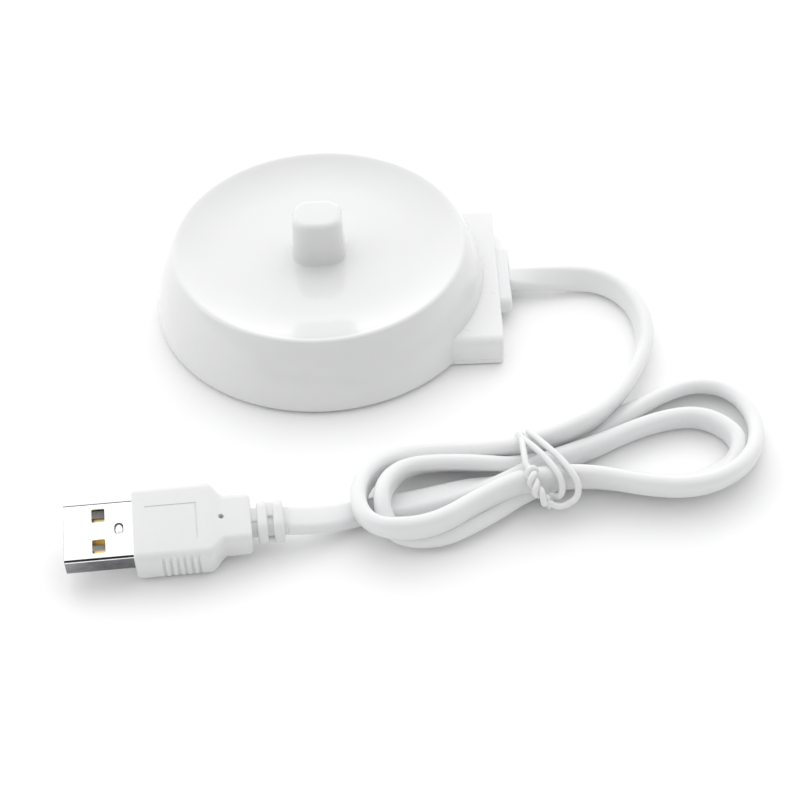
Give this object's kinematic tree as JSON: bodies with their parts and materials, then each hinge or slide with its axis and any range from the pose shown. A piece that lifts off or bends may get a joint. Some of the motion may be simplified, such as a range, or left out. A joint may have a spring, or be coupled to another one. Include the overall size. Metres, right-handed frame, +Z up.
{
  "type": "toothbrush charging base",
  "caption": "Round inductive charging base with a short keyed post in a shallow dish, a side block, and a flat USB-A lead tied in a loose hank.",
  "frame": {"origin": "on the axis of the charging post, on the surface that the underside rests on", "axes": "+Z up along the post; +X towards the side block and the cable's exit; +Y away from the hank"},
  "size_m": [0.133, 0.1107, 0.0233],
  "materials": {
    "shell_white": "glossy white moulding",
    "block_white": "satin to glossy white moulding",
    "cable_white": "soft white PVC",
    "plug_white": "soft white overmould",
    "tie_white": "coated wire",
    "plug_steel": "bright nickel plate",
    "insulator": "moulded insulator",
    "contact_gold": "gold flash",
    "pad_grey": "soft pad",
    "seal_rubber": "silicone",
    "screw_steel": "zinc plated",
    "ferrite": "sintered ferrite",
    "bobbin": "moulded nylon",
    "copper": "enamelled copper",
    "board_green": "solder mask",
    "component_black": "epoxy case",
    "film_red": "dipped film capacitor",
    "can_aluminium": "drawn can",
    "wire_red": "PVC insulation",
    "wire_black": "PVC insulation"
  },
  "bodies": {
    "root": {"top_shell": "shell_white", "bottom_cover": "block_white", "rear_block": "block_white", "block_base_plate": "block_white", "cable_grommet": "cable_white", "sealing_ring": "seal_rubber", "foot_pads": "pad_grey", "cover_screws": "screw_steel", "ferrite_core": "ferrite", "coil_bobbin": "bobbin", "charging_coil": "copper", "coil_leads": "copper", "circuit_board": "board_green", "board_screws": "screw_steel", "driver_chip": "component_black", "power_transistors": "component_black", "resonant_capacitors": "film_red", "smoothing_capacitor": "can_aluminium", "power_inductor": "ferrite", "chip_resistors": "component_black", "wire_header": "insulator", "cord_clamp": "bobbin", "clamp_screws": "screw_steel", "core_wire_red": "wire_red", "core_wire_black": "wire_black", "cable_inlet_end": "cable_white", "cable_lead": "cable_white", "cable_hank": "cable_white", "plug_lead": "cable_white", "cable_tie": "tie_white", "plug_shell": "plug_steel", "plug_tongue": "insulator", "plug_contacts": "contact_gold", "plug_inner_mould": "insulator", "plug_overmould": "plug_white"}
  },
  "joints": []
}
